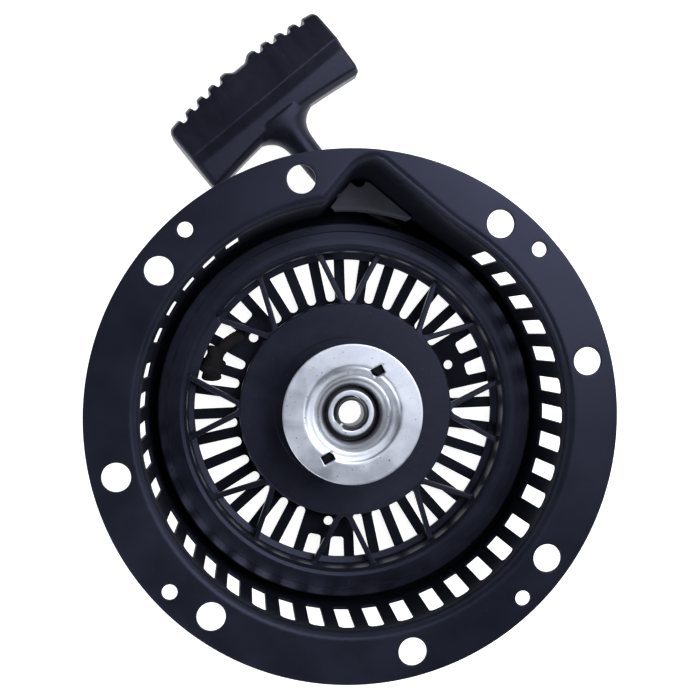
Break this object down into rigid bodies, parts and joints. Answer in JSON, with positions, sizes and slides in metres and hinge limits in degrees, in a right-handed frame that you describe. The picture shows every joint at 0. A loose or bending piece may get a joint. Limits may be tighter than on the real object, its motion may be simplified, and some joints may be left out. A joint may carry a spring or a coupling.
{
  "type": "recoil starter",
  "caption": "Recoil starter for a small engine: slotted steel housing, spring-returned rope reel with dogs, and a T-handle on the rope.",
  "frame": {"origin": "centre of the whole object's box at its lowest face, the closed outer face of the housing; the reel's axis stands at x 0, y -0.0335", "axes": "+Z along the reel's axis out of the open engine side, +Y towards the rope outlet and the handle, +X to its right"},
  "size_m": [0.22, 0.287, 0.06],
  "materials": {
    "black_steel": "satin black stove enamel on pressed steel",
    "matte_steel": "matt black coat",
    "reel_plastic": "fine moulded black plastic",
    "grip_plastic": "satin black plastic",
    "zinc_plate": "bright zinc plating",
    "spring_steel": "blued spring steel",
    "pin_steel": "dark plated steel",
    "rope": "black braided cord"
  },
  "bodies": {
    "frame": {"housing": "black_steel", "rope_eyelet": "black_steel", "rope_guide_plate": "matte_steel", "centre_post": "pin_steel", "centre_pin": "pin_steel", "key_washer": "zinc_plate", "friction_washer": "zinc_plate", "rewind_spring": "spring_steel", "rope_run": "rope"},
    "reel": {"pulley": "reel_plastic", "rope_windings": "rope", "pulley_knot": "rope", "spring_cover": "spring_steel", "brake_spring": "spring_steel", "dog_spring_1": "spring_steel", "dog_spring_2": "spring_steel"},
    "retainer": {"retainer_plate": "zinc_plate"},
    "dog_left": {"dog_2": "pin_steel"},
    "dog_right": {"dog_1": "pin_steel"},
    "handle": {"handle_grip": "grip_plastic", "handle_insert": "zinc_plate", "handle_knot": "rope"}
  },
  "joints": [
    {"name": "reel_turn", "type": "hinge", "parent": "frame", "child": "reel", "pos_m": [0, -0.0335, 0.012], "axis": [0, 0, 1], "range_deg": [0, 1180], "stiffness_Nm_per_rad": 0.02, "springref_deg": -687.55, "deforming": ["rewind_spring"]},
    {"name": "handle_pull", "type": "slide", "parent": "frame", "child": "handle", "axis": [-0.6334, 0.7738, 0], "range_m": [0, 1.61]},
    {"name": "retainer_turn", "type": "hinge", "parent": "reel", "child": "retainer", "pos_m": [0, -0.0335, 0.04], "axis": [0, 0, 1], "range_deg": [-25, 0], "stiffness_Nm_per_rad": 0.02, "springref_deg": 17.19},
    {"name": "dog_1_swing", "type": "hinge", "parent": "reel", "child": "dog_right", "pos_m": [0.02042, -0.03529, 0.039], "axis": [0, 0, 1], "range_deg": [-30.5, 0]},
    {"name": "dog_2_swing", "type": "hinge", "parent": "reel", "child": "dog_left", "pos_m": [-0.02042, -0.03171, 0.039], "axis": [0, 0, 1], "range_deg": [-30.5, 0]}
  ],
  "couplings": [
    {"joint": "handle_pull", "follows": "reel_turn", "m_per_rad": 0.0777},
    {"joint": "dog_1_swing", "follows": "retainer_turn", "ratio": 1.2},
    {"joint": "dog_2_swing", "follows": "retainer_turn", "ratio": 1.2}
  ]
}
